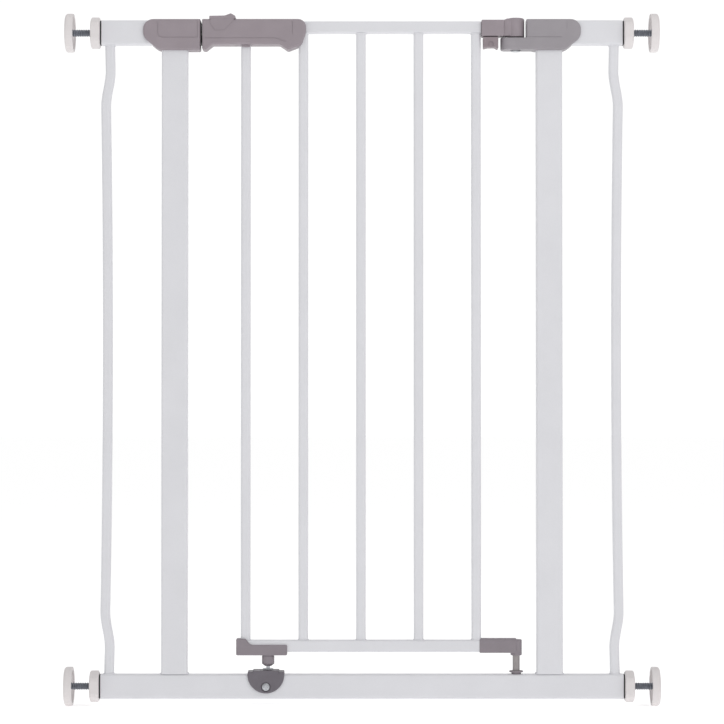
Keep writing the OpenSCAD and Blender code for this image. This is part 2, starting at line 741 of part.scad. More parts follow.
at_corner(1, high_axis) adjuster_foot();  // top_right_foot
at_corner(1, high_axis) adjuster_cup();  // top_right_cup
at_corner(-1, low_axis) adjuster_nut();  // bottom_left_nut
at_corner(-1, low_axis) adjuster_spindle();  // bottom_left_spindle
at_corner(-1, low_axis) adjuster_foot();  // bottom_left_foot
at_corner(-1, low_axis) adjuster_cup();  // bottom_left_cup
at_corner(1, low_axis) adjuster_nut();  // bottom_right_nut
at_corner(1, low_axis) adjuster_spindle();  // bottom_right_spindle
at_corner(1, low_axis) adjuster_foot();  // bottom_right_foot
at_corner(1, low_axis) adjuster_cup();  // bottom_right_cup
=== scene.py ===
"""Looks of the safety gate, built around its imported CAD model.

Outlines and sizes are in millimetres and are scaled when a mesh is made. X runs across the
doorway, -Y is the front and +Z is up. Places come from the boxes of the CAD nodes.
"""
import json
import math

import bmesh
import bpy
import numpy as np
from mathutils import Matrix, Vector

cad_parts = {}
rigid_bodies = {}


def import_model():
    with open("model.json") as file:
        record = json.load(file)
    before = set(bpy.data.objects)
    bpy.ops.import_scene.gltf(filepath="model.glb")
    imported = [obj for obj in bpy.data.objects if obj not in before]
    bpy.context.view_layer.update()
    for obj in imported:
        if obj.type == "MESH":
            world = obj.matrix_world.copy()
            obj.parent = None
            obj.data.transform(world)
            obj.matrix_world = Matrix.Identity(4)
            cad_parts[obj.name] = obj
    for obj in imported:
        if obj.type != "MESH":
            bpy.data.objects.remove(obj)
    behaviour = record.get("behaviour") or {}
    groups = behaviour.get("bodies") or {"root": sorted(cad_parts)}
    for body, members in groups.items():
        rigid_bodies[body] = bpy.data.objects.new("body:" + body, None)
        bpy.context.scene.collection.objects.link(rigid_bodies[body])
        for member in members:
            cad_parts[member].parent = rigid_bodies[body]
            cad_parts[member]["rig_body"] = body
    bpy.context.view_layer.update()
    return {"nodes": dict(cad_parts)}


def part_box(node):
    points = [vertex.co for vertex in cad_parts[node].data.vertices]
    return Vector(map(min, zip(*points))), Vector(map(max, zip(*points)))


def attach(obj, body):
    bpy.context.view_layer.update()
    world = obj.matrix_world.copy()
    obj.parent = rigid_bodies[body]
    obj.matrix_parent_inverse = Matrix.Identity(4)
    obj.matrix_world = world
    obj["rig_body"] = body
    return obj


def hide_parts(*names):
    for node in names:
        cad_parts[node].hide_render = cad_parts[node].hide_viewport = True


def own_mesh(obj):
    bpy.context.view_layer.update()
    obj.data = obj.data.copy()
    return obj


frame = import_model()

MM = 0.001
GAP = 0.05             # assembly gap between pieces
ARC_STEPS = 7          # straight steps in each rounded corner
SMOOTH_ANGLE = math.radians(32)
ALONG_Y = (0, 1, 0)
ALONG_Z = (0, 0, 1)

# Studio, in metres
SKY = (0.60, 1.05)     # strength of the sky all round, and straight behind the gate
LAMPS = [              # name, place, size, power in watts
    ("key", (1.1, -1.7, 1.9), 1.2, 9),
    ("top", (-0.2, -0.3, 2.4), 1.6, 6),
]
AIM = (0, 0, 0.38)     # point that the lamps face
FLOOR_HALF = 30
LENS = 136.2           # focal length in millimetres
CAMERA = (0, -2.9994, 0.3233)
TILT = 1.0             # camera's tilt upwards, in degrees


# Places taken from the CAD model --------------------------------------------------------

def span(node):
    """Lowest and highest corner of a CAD node, in millimetres."""
    low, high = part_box(node)
    return np.array(low) / MM, np.array(high) / MM


def middle(node):
    """Middle of a CAD node, in millimetres."""
    low, high = span(node)
    return (low + high) / 2


CASE_TOP = span("handle_front_cover")[1][2]
GATE_H = CASE_TOP - 0.9          # upper face of the top tubes
CASE_LOW = GATE_H - 33.2
LATCH_X = span("handle_front_cover")[0][0]
HANDLE_RIGHT = span("handle_front_cover")[1][0]
HINGE_X = middle("top_hinge_pin")[0]
UPRIGHT_X = middle("right_upright")[0]
FRAME_END = span("bottom_tube")[1][0]
SIDE_X = FRAME_END - 9.2
LOW_AXIS = middle("bottom_tube")[2]
HIGH_AXIS = middle("top_right_tube")[2]
LOW_TUBE_TOP = span("bottom_tube")[1][2]
HIGH_TUBE_LOW = span("top_right_tube")[0][2]
BAR_X = [middle(f"bar_{i}")[0] for i in range(1, 6)]
TOP_RAIL_Z = span("top_rail")[0][2]
LOW_RAIL_Z = span("bottom_rail")[0][2]
TOP_RAIL_LEFT = BAR_X[0] - 5.8
LOW_RAIL_LEFT = LATCH_X + 40.1
RAIL_RIGHT = span("top_rail")[1][0]
BOLT_Z = span("latch_bolt")[0][2]
CATCH_X = middle("catch_front")[0]
PIN_X = middle("latch_pin")[0]
CUP_T = span("top_right_cup")[1][0] - span("top_right_cup")[0][0]
HANDLE_SCREWS = [
    (LATCH_X + 62.9, GATE_H - 20.4), (LATCH_X + 88.9, GATE_H - 20.4), (LATCH_X + 6.2, GATE_H - 7),
]


# Sizes ----------------------------------------------------------------------------------

TUBE_D = 15
TUBE_H = 27
TUBE_R = 2.5
TUBE_WALL = 1.5
UPRIGHT_W = 28.7
BAR_W = 10.5
BAR_R = 3
BAR_WALL = 1.2
RAIL_D = 12
RAIL_H = 13
SHELL_D = 11.5         # half depth of the two frame housings
HANDLE_D = 12          # half depth of the handle
WALL = 2.2
EDGE = 2.4             # radius round the faces of the housings
SCREW_IN = 8           # from an upright's middle to each housing screw
PIN_R = 4              # upper hinge pin
BUSH_R = 6
BOLT_H = 8
BOLT_W = 6.4
CATCH_R = 20
CATCH_D = 10.5         # half depth of the catch
CATCH_SHOULDER = 14.2  # half width of the catch's raised middle
SPINDLE_R = 4
SPINDLE_LENGTH = 85
THREAD_PITCH = 2.5
REACH = 39.5           # from a tube's end to the wall


# Mesh helpers ---------------------------------------------------------------------------

def unit(v):
    return v / np.linalg.norm(v)


def arc(a, b, c, radius, steps):
    """Points of the arc that rounds the corner b between a and c; copies of b at radius 0."""
    if radius < 1e-6:
        return [b] * (steps + 1)
    u, v = unit(a - b), unit(c - b)
    half = math.acos(np.clip(u @ v, -1, 1)) / 2
    start = b + u * radius / math.tan(half)
    centre = b + unit(u + v) * radius / math.sin(half)
    first = math.atan2(*(start - centre)[::-1])
    turn = (math.pi - 2 * half) * (1 if u[0] * v[1] - u[1] * v[0] < 0 else -1)
    angles = [first + turn * i / steps for i in range(steps + 1)]
    return [centre + radius * np.array([math.cos(t), math.sin(t)]) for t in angles]


def outline(corners, inset=0.0, steps=ARC_STEPS):
    """Points of an anticlockwise outline of (x, y, radius) corners, moved inwards and rounded."""
    count = len(corners)
    moved, radii = [], []
    for i in range(count):
        before, here, after = (np.array(corners[(i + k) % count][:2], float) for k in (-1, 0, 1))
        e, f = unit(here - before), unit(after - here)
        m, n = np.array([-e[1], e[0]]), np.array([-f[1], f[0]])
        convex = e[0] * f[1] - e[1] * f[0] > 0
        moved.append(here + inset * (m + n) / (1 + m @ n))
        radii.append(max(corners[i][2] + (-inset if convex else inset), 0))
    points = []
    for i in range(count):
        points += arc(moved[i - 1], moved[i], moved[(i + 1) % count], radii[i], steps)
    return np.array(points)


def rect(w, h, r):
    """Corners of a rectangle about the origin."""
    return [(w / 2, h / 2, r), (-w / 2, h / 2, r), (-w / 2, -h / 2, r), (w / 2, -h / 2, r)]


def build(name, rings, loop=False):
    """Closed mesh object through rings of equal length, capped at both ends or joined in a loop."""
    rings = [np.asarray(r, float) for r in rings]
    n = len(rings[0])
    bm = bmesh.new()
    verts = [[bm.verts.new(p * MM) for p in ring] for ring in rings]
    pairs = list(zip(verts, verts[1:])) + ([(verts[-1], verts[0])] if loop else [])
    for a, b in pairs:
        for j in range(n):
            k = (j + 1) % n
            bm.faces.new((a[j], a[k], b[k], b[j]))
    if not loop:
        bm.faces.new(verts[0])
        bm.faces.new(verts[-1])
    bmesh.ops.remove_doubles(bm, verts=bm.verts, dist=2e-6)
    bmesh.ops.dissolve_degenerate(bm, dist=1e-6, edges=bm.edges)
    bmesh.ops.recalc_face_normals(bm, faces=bm.faces)
    mesh = bpy.data.meshes.new(name)
    bm.to_mesh(mesh)
    bm.free()
    piece = bpy.data.objects.new(name, mesh)
    bpy.context.scene.collection.objects.link(piece)
    return piece


def slab(name, corners, y0, y1, edge_front=0.0, edge_back=0.0, inset=0.0):
    """Solid with an outline in X and Z from y0 to y1, its edges rounded on the faces."""
    rings = []
    for t in edge_turns(edge_front):
        points = outline(corners, inset + edge_front * (1 - math.sin(t)))
        rings.append(lay_xz(points, y0 + edge_front * (1 - math.cos(t))))
    for t in reversed(edge_turns(edge_back)):
        points = outline(corners, inset + edge_back * (1 - math.sin(t)))
        rings.append(lay_xz(points, y1 - edge_back * (1 - math.cos(t))))
    return build(name, rings)


def edge_turns(radius, steps=4):
    """Angles of the rings round an edge, from the face to the side."""
    return [math.pi / 2 * i / steps for i in range(steps + 1)] if radius > 0 else [math.pi / 2]


def lay_xz(points, y):
    return np.array([(x, y, z) for x, z in points])


def lay_xy(points, z):
    return np.array([(x, y, z) for x, y in points])


def lay_yz(points, x):
    return np.array([(x, y, z) for y, z in points])


def brick(name, low, high, edge=0.0):
    """Box between two corners with its edges rounded."""
    low, high = np.array(low, float), np.array(high, float)
    w, d = high[0] - low[0], high[1] - low[1]
    centre = (low + high) / 2
    rings = []
    for z0, side in ((low[2], 1), (high[2], -1)):
        turns = edge_turns(edge)
        for t in turns if side > 0 else reversed(turns):
            ring = outline(rect(w, d, edge), edge * (1 - math.sin(t)), 4) + centre[:2]
            rings.append(lay_xy(ring, z0 + side * edge * (1 - math.cos(t))))
    return build(name, rings)


def revolve(name, profile, origin, axis, segments=64, loop=True):
    """Solid of revolution: profile is (radius, distance along the axis) round a closed section."""
    axis = Vector(axis).normalized()
    side = Vector((0, 0, 1)) if abs(axis.z) < 0.9 else Vector((1, 0, 0))
    across = side.cross(axis).normalized()
    up = axis.cross(across)
    rings = []
    for radius, along in profile:
        ring = []
        for j in range(segments):
            t = 2 * math.pi * j / segments
            out = math.cos(t) * across + math.sin(t) * up
            ring.append(Vector(origin) + axis * along + radius * out)
        rings.append(ring)
    return build(name, rings, loop)


def rod(name, centre, axis, radius, start, end, segments=40):
    """Round rod, or bore to be cut, between two distances along an axis through the centre."""
    profile = [(0, start), (radius, start), (radius, end), (0, end)]
    return revolve(name, profile, centre, axis, segments, loop=False)


def settle(piece):
    """Applies the piece's modifiers to its mesh."""
    graph = bpy.context.evaluated_depsgraph_get()
    graph.update()
    mesh = bpy.data.meshes.new_from_object(piece.evaluated_get(graph))
    old = piece.data
    piece.modifiers.clear()
    piece.data = mesh
    bpy.data.meshes.remove(old)
    return piece


def combine(piece, tools, operation):
    """Adds the tools to the piece, or cuts them out of it, and removes them."""
    for tool in tools:
        modifier = piece.modifiers.new(tool.name, "BOOLEAN")
        modifier.operation = operation
        modifier.solver = "MANIFOLD"
        modifier.object = tool
    settle(piece)
    for tool in tools:
        bpy.data.objects.remove(tool)
    return piece


def join(piece, *others):
    """Takes the others' meshes into the piece."""
    bm = bmesh.new()
    for part in (piece, *others):
        bm.from_mesh(part.data)
    bm.to_mesh(piece.data)
    bm.free()
    for part in others:
        bpy.data.objects.remove(part)
    return piece


def cut(piece, *tools):
    return combine(piece, tools, "DIFFERENCE")


def add(piece, *tools):
    return combine(piece, tools, "UNION")


def soften(piece, width, segments=2):
    """Small bevel on the piece's sharp edges."""
    modifier = piece.modifiers.new("edges", "BEVEL")
    modifier.width = width * MM
    modifier.segments = segments
    modifier.limit_method = "ANGLE"
    modifier.angle_limit = math.radians(38)
    return settle(piece)


def stroke(name, path, width, y0, y1):
    """Thin strip along a path in X and Z, as thick as from y0 to y1, for cutting grooves."""
    path = np.array(path, float)
    left, right = [], []
    for i, p in enumerate(path):
        along = unit(path[min(i + 1, len(path) - 1)] - path[max(i - 1, 0)])
        side = np.array([-along[1], along[0]]) * width / 2
        left.append(p + side)
        right.append(p - side)
    points = right + left[::-1]
    return build(name, [lay_xz(points, y0), lay_xz(points, y1)])


def mirrored(piece, axis, name):
    """Copy of the piece mirrored in the plane through the origin across an axis."""
    mesh = piece.data.copy()
    scale = Matrix.Diagonal([-1 if a == axis else 1 for a in "xyz"] + [1])
    mesh.transform(scale)
    mesh.flip_normals()
    twin = bpy.data.objects.new(name, mesh)
    bpy.context.scene.collection.objects.link(twin)
    return twin


def place(piece, node, material, angle=SMOOTH_ANGLE):
    """The finished piece stands for its CAD node and moves with that node's body."""
    for polygon in piece.data.polygons:
        polygon.use_smooth = True
    piece.data.set_sharp_from_angle(angle=angle)
    weights = piece.modifiers.new("normals", "WEIGHTED_NORMAL")
    weights.keep_sharp = True
    settle(piece)
    piece.data.materials.clear()
    piece.data.materials.append(material)
    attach(piece, frame["nodes"][node]["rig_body"])
    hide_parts(node)
    return piece


# Materials ------------------------------------------------------------------------------

def linear(*rgb):
    """Scene colour from red, green and blue in 0 to 255."""
    return [((c / 255 + 0.055) / 1.055) ** 2.4 for c in rgb] + [1.0]


def finish(name, rgb, mottle, patch, roughness, grain, depth, metallic=0.0, stretch=(1, 1, 1)):
    """Procedural material in the object's own coordinates.

    Its colour drifts by the share mottle over patches of the size patch, in mm. Its roughness
    varies between two values, and its surface has bumps of the size grain and the height depth,
    in mm, on top of a finer speckle. Grain is drawn out along an axis where stretch is below 1.
    """
    material = bpy.data.materials.new(name)
    material.use_nodes = True
    nodes, links = material.node_tree.nodes, material.node_tree.links
    shader = nodes["Principled BSDF"]
    shader.inputs["Metallic"].default_value = metallic
    where = nodes.new("ShaderNodeTexCoord")
    scaled = nodes.new("ShaderNodeMapping")
    scaled.inputs["Scale"].default_value = stretch
    links.new(where.outputs["Object"], scaled.inputs["Vector"])

    def noise(size, detail):
        node = nodes.new("ShaderNodeTexNoise")
        node.inputs["Scale"].default_value = 1 / (size * MM)
        node.inputs["Detail"].default_value = detail
        links.new(scaled.outputs["Vector"], node.inputs["Vector"])
        return node.outputs["Fac"]

    def tones(value, low, high, start, end):
        ramp = nodes.new("ShaderNodeValToRGB")
        ramp.color_ramp.elements[0].position, ramp.color_ramp.elements[1].position = start, end
        ramp.color_ramp.elements[0].color, ramp.color_ramp.elements[1].color = low, high
        links.new(value, ramp.inputs["Fac"])
        return ramp.outputs["Color"]

    colour = linear(*rgb)
    dark = [c * (1 - mottle) for c in colour[:3]] + [1]
    light = [min(c * (1 + mottle), 1) for c in colour[:3]] + [1]
    drift = tones(noise(patch, 4), dark, light, 0.35, 0.65)
    speck = tones(noise(grain * 0.45, 2), [1 - mottle * 1.5] * 3 + [1], [1, 1, 1, 1], 0.3, 0.5)
    mix = nodes.new("ShaderNodeMix")
    mix.data_type = "RGBA"
    mix.blend_type = "MULTIPLY"
    mix.inputs["Factor"].default_value = 1
    links.new(drift, mix.inputs[6])
    links.new(speck, mix.inputs[7])
    links.new(mix.outputs[2], shader.inputs["Base Color"])

    spread = nodes.new("ShaderNodeMapRange")
    spread.inputs["From Min"].default_value, spread.inputs["From Max"].default_value = 0.3, 0.7
    spread.inputs["To Min"].default_value, spread.inputs["To Max"].default_value = roughness
    links.new(noise(patch * 0.3, 5), spread.inputs["Value"])
    links.new(spread.outputs["Result"], shader.inputs["Roughness"])

    coarse, fine = nodes.new("ShaderNodeBump"), nodes.new("ShaderNodeBump")
    for bump, size, height in ((coarse, grain, depth), (fine, grain * 0.25, depth * 0.3)):
        bump.inputs["Strength"].default_value = 1
        bump.inputs["Distance"].default_value = height * MM
        links.new(noise(size, 2), bump.inputs["Height"])
    links.new(fine.outputs["Normal"], coarse.inputs["Normal"])
    links.new(coarse.outputs["Normal"], shader.inputs["Normal"])
    return material


WHITE = finish("white_powder_coat", (219, 219, 223), 0.014, 45, (0.28, 0.42), 1.6, 0.035)
LATCH = finish("latch_plastic", (149, 139, 145), 0.03, 18, (0.40, 0.55), 0.5, 0.03)
HINGE = finish("hinge_plastic", (151, 146, 151), 0.03, 18, (0.40, 0.55), 0.5, 0.03)
SHOE = finish("shoe_plastic", (136, 128, 134), 0.03, 14, (0.42, 0.56), 0.5, 0.03)
CATCH = finish("catch_plastic", (104, 99, 106), 0.04, 12, (0.38, 0.52), 0.5, 0.03)
CLIP = finish("clip_plastic", (141, 129, 134), 0.04, 10, (0.42, 0.58), 0.5, 0.03)
# Black plastic; on the tube plugs the same black is painted shadow in the gap between tube end and hand nut
BLACK_PLASTIC_AND_SHADOW = finish("black_plastic_and_painted_shadow", (38, 37, 40), 0.06, 12, (0.40, 0.58), 0.5, 0.03)
PALE = finish("pale_plastic", (221, 216, 216), 0.015, 20, (0.35, 0.50), 0.8, 0.02)
ZINC = finish("zinc_steel", (186, 188, 192), 0.06, 4, (0.22, 0.38), 0.35, 0.012, 1.0, (1, 1, 0.25))
THREAD = finish("thread_steel", (128, 132, 140), 0.08, 5, (0.28, 0.42), 0.3, 0.010, 1.0)
ROD = finish("rod_steel", (156, 151, 151), 0.05, 6, (0.35, 0.48), 0.3, 0.012, 0.6, (1, 1, 0.2))


# Tubes and bars -------------------------------------------------------------------------

def tube(name, axis, start, end, centre, w, h, r, wall):
    """Tube along X or Z with a section w by h, in Y and Z or in X and Y, and eased ends."""
    lip = 0.3
    lay = lay_yz if axis == "x" else lay_xy
    rings = []
    for along, inset in (
        (start, lip), (start + lip, 0), (end - lip, 0), (end, lip),
        (end, wall - lip), (end - lip, wall), (start + lip, wall), (start, wall - lip),
    ):
        rings.append(lay(outline(rect(w, h, r), inset) + np.array(centre), along))
    return build(name, rings, loop=True)


def bead(name, path, radius, loop):
    """Weld bead along a path, with the ripples that its steps leave."""
    path = np.array(path, float)
    count = len(path)
    turns = [2 * math.pi * j / 10 for j in range(10)]
    along = 0.0
    rings = []
    for i, p in enumerate(path):
        before = path[i - 1] if loop or i else p
        after = path[(i + 1) % count] if loop or i < count - 1 else p
        t = unit(after - before)
        along += np.linalg.norm(p - before)
        side = unit(np.cross(t, (0.31, 0.17, 0.94) if abs(t[2]) < 0.9 else (1, 0, 0)))
        up = np.cross(t, side)
        r = radius * (1 + 0.14 * math.sin(along * 4.2))
        rings.append([p + r * (math.cos(a) * side + math.sin(a) * up) for a in turns])
    return build(name, rings, loop)


def collar(name, x, z, w, radius):
    """Weld bead round the foot or head of an upright bar."""
    corners = outline(rect(w + 0.3, w + 0.3, BAR_R), 0, 6) + np.array((x, 0))
    path = []
    for a, b in zip(corners, np.roll(corners, -1, axis=0)):
        steps = max(int(np.linalg.norm(b - a) / 0.5), 1)
        path += [a + (b - a) * i / steps for i in range(steps)]
    return bead(name, lay_xy(path, z), radius, True)


def make_tubes():
    size = (TUBE_D, TUBE_H, TUBE_R, TUBE_WALL)
    base = tube("bottom_rail_tube", "x", -FRAME_END, FRAME_END, (0, LOW_AXIS), *size)
    cut(base, rod("hole", (CATCH_X, 0, LOW_AXIS), ALONG_Y, 2.6, -10, 10),
        rod("hole", (HINGE_X, 0, 0), ALONG_Z, 5.3, LOW_AXIS, LOW_AXIS + TUBE_H))
    place(base, "bottom_tube", WHITE)
    for side, label in ((-1, "left"), (1, "right")):
        ends = sorted((side * (UPRIGHT_X - UPRIGHT_W / 2), side * FRAME_END))
        top = tube(f"{label}_top_tube", "x", *ends, (0, HIGH_AXIS), *size)
        holes = [
            rod("hole", (side * (UPRIGHT_X + dx), 0, HIGH_AXIS), ALONG_Y, 2.2, -10, 10)
            for dx in (-SCREW_IN, SCREW_IN)
        ]
        place(cut(top, *holes), f"top_{label}_tube", WHITE)
        make_upright(side, label)
        make_side_bar(side, label)


def make_upright(side, label):
    x = side * UPRIGHT_X
    size = (UPRIGHT_W, TUBE_D, TUBE_R, TUBE_WALL)
    post = tube(f"{label}_post", "z", LOW_TUBE_TOP, HIGH_TUBE_LOW, (x, 0), *size)
    beads = []
    for s in (-1, 1):
        across = np.linspace(-5.2, 5.2, 27)
        path = [(x + s * (UPRIGHT_W / 2 + 0.1), y, LOW_TUBE_TOP + 0.3) for y in across]
        beads.append(bead("bead", path, 1.15, False))
    place(join(post, *beads), f"{label}_upright", WHITE)


def ease(t):
    t = np.clip(t, 0, 1)
    return t * t * (3 - 2 * t)


def make_side_bar(side, label):
    """Bar with two bends near its ends and a slight inward bow."""
    length = HIGH_TUBE_LOW - LOW_TUBE_TOP
    step, bow = 5.6, 3.7
    bend_start, bend_length = 28, 40

    def out(z):
        from_end = min(z, length - z)
        return step * ease((from_end - bend_start) / bend_length) - bow * (1 - (2 * z / length - 1) ** 2)

    bends = np.linspace(26, 70, 23)
    heights = np.concatenate([
        [0], bends, np.linspace(90, length - 90, 30), length - bends[::-1], [length],
    ])
    rings = []
    for z in heights:
        slope = 0 if z in (0, length) else math.atan((out(z + 1) - out(z - 1)) / 2)
        ring = [
            (SIDE_X + out(z) + a * math.cos(slope), b, LOW_TUBE_TOP + z - a * math.sin(slope))
            for a, b in outline(rect(BAR_W, BAR_W, BAR_R))
        ]
        rings.append([(side * px, py, pz) for px, py, pz in ring])
    bar = build(f"{label}_outer_bar", rings)
    collars = [collar("bead", side * SIDE_X, LOW_TUBE_TOP + 0.2, BAR_W, 0.75),
               collar("bead", side * SIDE_X, HIGH_TUBE_LOW - 0.2, BAR_W, 0.75)]
    place(join(bar, *collars), f"{label}_side_bar", WHITE)


def make_door_frame():
    rails = (("top_rail", TOP_RAIL_Z, TOP_RAIL_LEFT), ("bottom_rail", LOW_RAIL_Z, LOW_RAIL_LEFT))
    for node, z, start in rails:
        centre = (0, z + RAIL_H / 2)
        rail = tube(f"door_{node}", "x", start, RAIL_RIGHT, centre, RAIL_D, RAIL_H, 2, BAR_WALL)
        place(rail, node, WHITE)
    for i, x in enumerate(BAR_X, 1):
        low, high = LOW_RAIL_Z + RAIL_H, TOP_RAIL_Z
        bar = tube(f"door_bar_{i}", "z", low, high, (x, 0), BAR_W, BAR_W, BAR_R, BAR_WALL)
        collars = [collar("bead", x, low + 0.15, BAR_W, 0.6), collar("bead", x, high - 0.15, BAR_W, 0.6)]
        place(join(bar, *collars), f"bar_{i}", WHITE)


# Housings -------------------------------------------------------------------------------

def case_corners(inner_x, low_r):
    """Side outline of the right housing; the left one is its mirror image."""
    return [
        (UPRIGHT_X + 17.1, CASE_LOW, 14), (UPRIGHT_X + 34.6, GATE_H - 19, 12),
        (UPRIGHT_X + 34.6, CASE_TOP, 11), (inner_x, CASE_TOP, 1), (inner_x, CASE_LOW, low_r),
    ]


def half_shell(name, corners, depth):
    """Front half of a hollow housing, with rounded edges and an eased parting line."""
    outer = slab(name, corners, -depth, -0.03, EDGE, 0.3)
    return cut(outer, slab("cavity", corners, -depth + WALL, 1, inset=WALL))


def with_bosses(piece, places, depth, inner, radius, bore):
    """Screw bosses inside a front half, each from its wall to the depth inner."""
    posts = [rod("boss", (x, 0, z), ALONG_Y, radius, -depth + WALL - 0.2, inner) for x, z in places]
    holes = [rod("bore", (x, 0, z), ALONG_Y, bore, -depth + 1.3, 1) for x, z in places]
    return cut(add(piece, *posts), *holes)


def rear_half(front, name, places, depth, bore, head):
    """Rear half: the front's mirror image, with a counterbored screw hole through each boss."""
    rear = mirrored(front, "y", name)
    holes = [rod("bore", (x, 0, z), ALONG_Y, bore, 0, depth + 1) for x, z in places]
    seats = [rod("seat", (x, 0, z), ALONG_Y, head, depth - 1.95, depth + 1) for x, z in places]
    return cut(rear, *holes, *seats)


def bend(a, b, c, radius, steps=8):
    """Path from a to c round the rounded corner b."""
    points = arc(np.array(a, float), np.array(b, float), np.array(c, float), radius, steps)
    return [np.array(a, float), *points, np.array(c, float)]


def groove(path, depth, width=0.55):
    return stroke("groove", path, width, -depth - 1, -depth + 0.4)


def frame_spaces(side):
    """Room for the top tube and the upright inside a housing."""
    inner = side * (UPRIGHT_X - UPRIGHT_W / 2 - GAP)
    x0, x1 = sorted((inner, side * (FRAME_END + 2)))
    u0, u1 = sorted((inner, side * (UPRIGHT_X + UPRIGHT_W / 2 + GAP)))
    half = TUBE_D / 2 + GAP
    return [
        brick("room", (x0, -half, HIGH_TUBE_LOW - GAP), (x1, half, GATE_H + GAP)),
        brick("room", (u0, -half, CASE_LOW - 5), (u1, half, HIGH_TUBE_LOW + 3)),
    ]


def rail_room(x0, x1, z):
    """Room for a door rail whose underside is at z."""
    half = RAIL_D / 2 + GAP
    return brick("room", (x0, -half, z - GAP), (x1, half, z + RAIL_H + GAP))


def bar_room(x, z0, z1):
    """Room for a door bar."""
    half = BAR_W / 2 + GAP
    return brick("room", (x - half, -half, z0), (x + half, half, z1))


def make_latch_case():
    corners = [(-x, z, r) for x, z, r in reversed(case_corners(-LATCH_X + 2, 1.5))]
    front = half_shell("latch_case_front", corners, SHELL_D)
    places = [(-UPRIGHT_X + dx, HIGH_AXIS) for dx in (-SCREW_IN, SCREW_IN)]
    with_bosses(front, places, SHELL_D, inner=-TUBE_D / 2 - GAP, radius=4.5, bore=2.02)
    cut(front, *frame_spaces(-1))
    half = 9           # half depth of the striker block
    low, high = (LATCH_X - 16, -half - GAP, GATE_H - 26.45), (LATCH_X, half + GAP, GATE_H - 1.45)
    cut(front, brick("opening", low, high))
    left, low, right = -UPRIGHT_X - 18.5, GATE_H - 19.3, LATCH_X - 5.1
    cut(front, groove(bend((left, GATE_H - 2), (left, low), (right, low), 5), SHELL_D),
        groove([(right, low - 0.3), (right, GATE_H - 2)], SHELL_D, 0.45))
    rear = rear_half(front, "latch_case_rear", places, SHELL_D, bore=2.1, head=3.8)
    place(front, "latch_front_cover", LATCH)
    place(rear, "latch_rear_cover", LATCH)

    low, high = (LATCH_X - 15.1, -half, GATE_H - 26.4), (LATCH_X - 1.1, half, GATE_H - 1.5)
    insert = brick("striker_block", low, high, 0.7)
    cut(insert, brick("pocket", (LATCH_X - 11.1, -3.6, BOLT_Z - 0.6), (LATCH_X, 3.6, BOLT_Z + 16.6), 0.5))
    place(insert, "striker_insert", BLACK_PLASTIC_AND_SHADOW)


def make_hinge_case():
    """Housing that reaches out under the upper knuckle, in a shelf with a rounded nose."""
    inner, top, low = HINGE_X + 11.4, GATE_H - 19.3, GATE_H - 32.5
    turn_x = HINGE_X - 5.2
    nose = turn_x - SHELL_D
    corners = case_corners(inner, 0)[:4] + [
        (inner, top, 1.2), (nose, top, 0.8), (nose, low, 1.6), (inner + 6, low, 0),
        (inner + 9, CASE_LOW, 0),
    ]
    front = slab("hinge_case_front", corners, -SHELL_D, -0.03, EDGE, 0.3)
    waste = brick("waste", (nose - 4, -20, low - 4), (turn_x, 20, top + 4))
    round_nose = rod("nose", (turn_x, 0, 0), ALONG_Z, SHELL_D - 0.01, low - 9, top + 9, 96)
    cut(front, cut(waste, round_nose))
    soften(front, 0.7, 3)
    cut(front, slab("cavity", case_corners(inner, 0), -SHELL_D + WALL, 1, inset=WALL))
    places = [(UPRIGHT_X + dx, HIGH_AXIS) for dx in (-SCREW_IN, SCREW_IN)]
    with_bosses(front, places, SHELL_D, inner=-TUBE_D / 2 - GAP, radius=4.5, bore=2.02)
    cut(front, *frame_spaces(1))
    cut(front, rod("bore", (HINGE_X, 0, GATE_H - 40), ALONG_Z, BUSH_R + GAP, 0, 30, 48))
    right, low = UPRIGHT_X + 19.1, GATE_H - 19
    cut(front, groove([(right, GATE_H - 1), (right, GATE_H - 11)], SHELL_D),
        groove([(HINGE_X + 13, low), (right - 6, low)], SHELL_D))
    rear = rear_half(front, "hinge_case_rear", places, SHELL_D, bore=2.1, head=3.8)
    place(front, "hinge_front_cover", HINGE)
    place(rear, "hinge_rear_cover", HINGE)

    bush = revolve("upper_bush", [
        (PIN_R + GAP, GATE_H - 32.4), (5.6, GATE_H - 32.5), (BUSH_R, GATE_H - 32.1),
        (BUSH_R, GATE_H - 19.6), (5.7, GATE_H - 19.3), (4.35, GATE_H - 19.3),
        (PIN_R + GAP, GATE_H - 19.6),
    ], (HINGE_X, 0, 0), ALONG_Z, 48)
    place(bush, "hinge_bush", BLACK_PLASTIC_AND_SHADOW)


